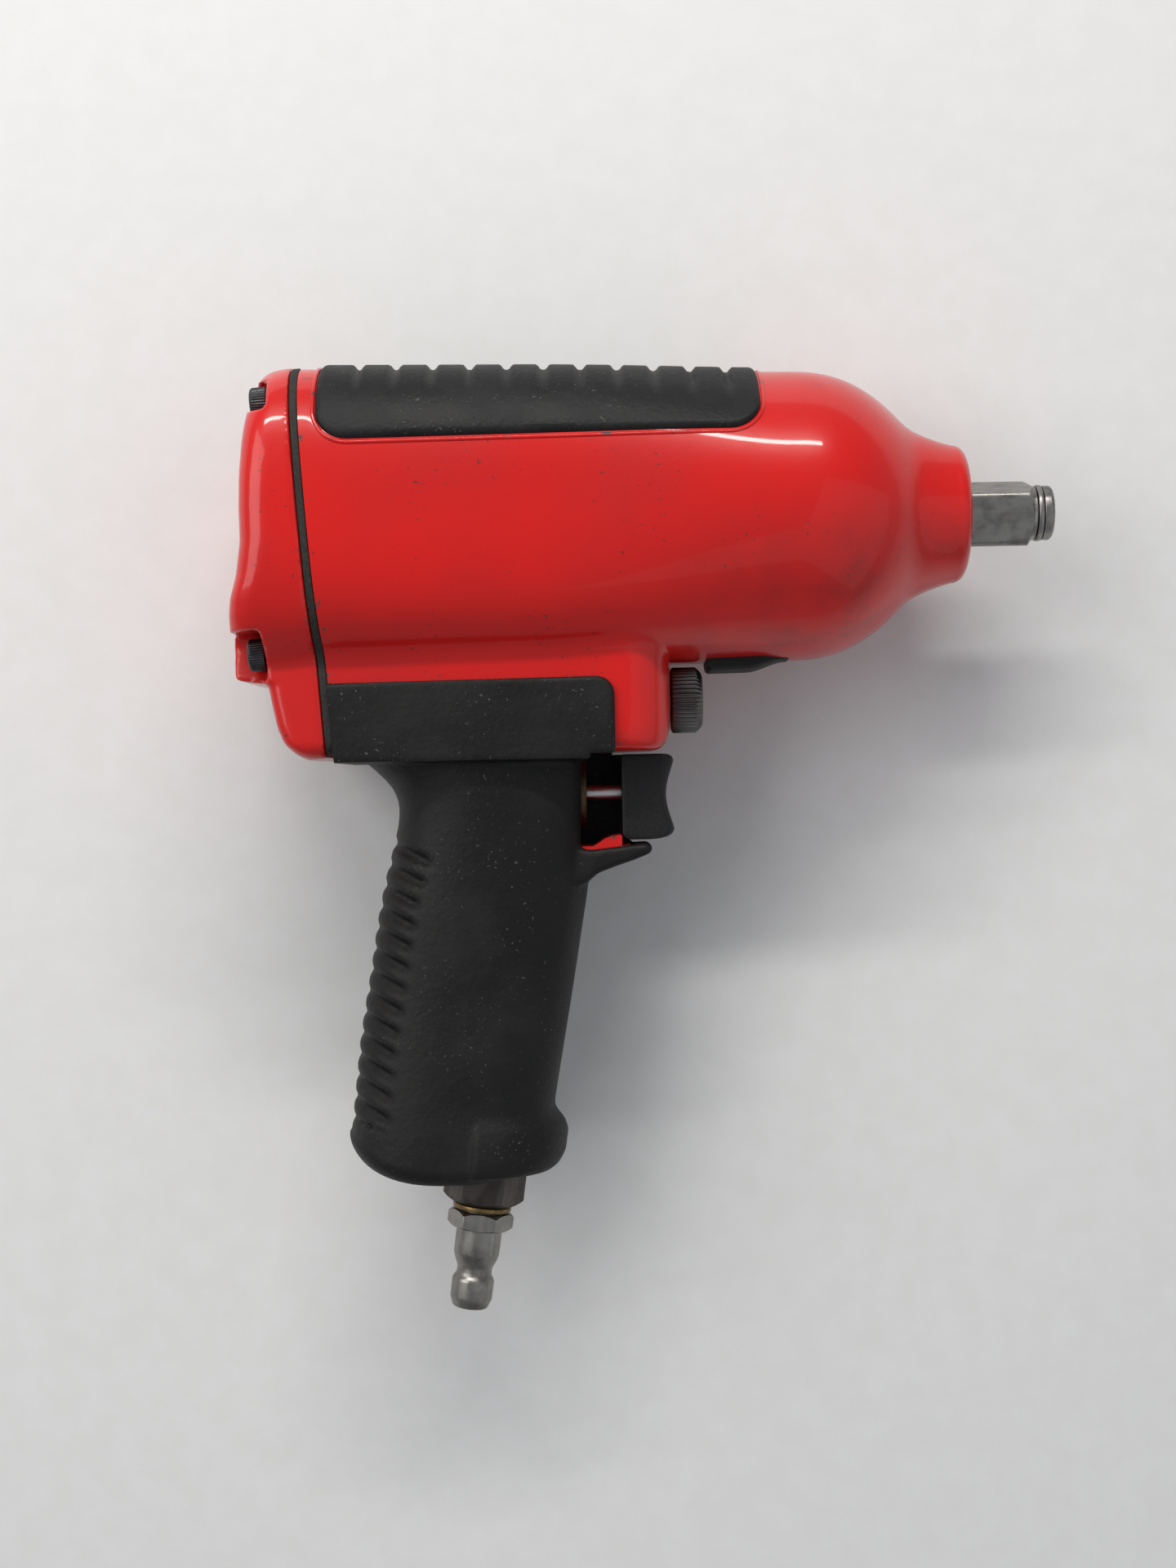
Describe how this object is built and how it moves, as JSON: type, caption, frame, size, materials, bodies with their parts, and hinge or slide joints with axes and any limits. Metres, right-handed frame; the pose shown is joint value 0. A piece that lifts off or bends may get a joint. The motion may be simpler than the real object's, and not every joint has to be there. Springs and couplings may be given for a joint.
{
  "type": "impact wrench",
  "caption": "Pistol-grip air impact wrench: square drive, swinging hammers, vane motor, sprung trigger, power regulator, rubber grips and an air plug at the foot.",
  "frame": {"origin": "centre of the square drive's end face", "axes": "+X forward along the drive axis, +Y from the handle up through the barrel, +Z out of the tool's right side, which faces up when the tool lies on its left side"},
  "size_m": [0.1849, 0.2159, 0.0668],
  "materials": {
    "red_paint": "gloss coat on a cast casing",
    "black_rubber": "matt moulded rubber with a fine grain",
    "black_plastic": "matt moulded nylon",
    "steel": "ground hardened steel",
    "dark_steel": "dark oiled steel",
    "black_steel": "black oxide",
    "brown_steel": "brown phosphate, worn",
    "bright_steel": "polished",
    "bronze": "sintered bronze",
    "brass": "yellow zinc",
    "worn_steel": "worn zinc plate",
    "vane_composite": "fibre-filled phenolic"
  },
  "bodies": {
    "housing": {"housing": "red_paint", "top_grip_pad": "black_rubber", "lower_bumper": "black_rubber", "handle_grip": "black_rubber", "rear_gasket": "black_rubber", "rear_cover": "red_paint", "cover_screw_1": "black_steel", "cover_screw_2": "black_steel", "cover_screw_3": "black_steel", "cover_screw_4": "black_steel", "anvil_bush": "bronze", "front_end_plate": "dark_steel", "rear_end_plate": "dark_steel", "front_bearing_outer_race": "steel", "rear_bearing_outer_race": "steel", "motor_cylinder": "dark_steel", "motor_dowel": "steel", "throttle_bush": "bronze", "throttle_seat": "black_rubber", "throttle_spring": "steel", "inlet_bushing": "brown_steel", "air_plug": "worn_steel", "inlet_seal": "brass", "inlet_screen": "steel", "exhaust_muffler": "bronze"},
    "anvil": {"anvil": "steel", "socket_ring": "steel", "drive_o_ring": "black_rubber"},
    "rotor": {"rotor": "steel", "vane_1": "vane_composite", "vane_2": "vane_composite", "vane_3": "vane_composite", "vane_4": "vane_composite", "vane_5": "vane_composite", "vane_6": "vane_composite", "hammer_frame": "dark_steel", "hammer_pin_1": "steel", "hammer_pin_2": "steel", "front_bearing_inner_race": "steel", "rear_bearing_inner_race": "steel"},
    "hammer_front": {"hammer_front": "steel"},
    "hammer_rear": {"hammer_rear": "steel"},
    "front_balls": {"front_bearing_balls": "steel"},
    "rear_balls": {"rear_bearing_balls": "steel"},
    "trigger": {"trigger": "black_plastic", "trigger_stem": "bright_steel"},
    "throttle_valve": {"throttle_valve": "bronze"},
    "regulator": {"regulator_knob": "dark_steel", "regulator_valve": "bronze", "regulator_o_ring": "black_rubber"}
  },
  "joints": [
    {"name": "anvil_spin", "type": "hinge", "parent": "housing", "child": "anvil", "pos_m": [0, 0, 0], "axis": [1, 0, 0], "continuous": true},
    {"name": "rotor_spin", "type": "hinge", "parent": "housing", "child": "rotor", "pos_m": [-0.1, 0, 0], "axis": [1, 0, 0], "continuous": true},
    {"name": "hammer_front_swing", "type": "hinge", "parent": "rotor", "child": "hammer_front", "pos_m": [-0.06, 0.02, 0], "axis": [1, 0, 0], "range_deg": [0, 7.5]},
    {"name": "hammer_rear_swing", "type": "hinge", "parent": "rotor", "child": "hammer_rear", "pos_m": [-0.075, -0.02, 0], "axis": [1, 0, 0], "range_deg": [0, 7.5]},
    {"name": "front_balls_spin", "type": "hinge", "parent": "housing", "child": "front_balls", "pos_m": [-0.1, 0, 0], "axis": [1, 0, 0], "continuous": true},
    {"name": "rear_balls_spin", "type": "hinge", "parent": "housing", "child": "rear_balls", "pos_m": [-0.15, 0, 0], "axis": [1, 0, 0], "continuous": true},
    {"name": "trigger_pull", "type": "slide", "parent": "housing", "child": "trigger", "axis": [-1, 0, 0], "range_m": [0, 0.0063], "stiffness_N_per_m": 900, "springref_m": -0.006, "deforming": ["throttle_spring"]},
    {"name": "throttle_valve_slide", "type": "slide", "parent": "housing", "child": "throttle_valve", "axis": [-1, 0, 0], "range_m": [0, 0.0063]},
    {"name": "regulator_turn", "type": "hinge", "parent": "housing", "child": "regulator", "pos_m": [-0.09, -0.0414, 0], "axis": [1, 0, 0], "range_deg": [-90, 90]}
  ],
  "couplings": [
    {"joint": "front_balls_spin", "follows": "rotor_spin", "ratio": 0.3989},
    {"joint": "rear_balls_spin", "follows": "rotor_spin", "ratio": 0.3989},
    {"joint": "throttle_valve_slide", "follows": "trigger_pull", "ratio": 1}
  ]
}
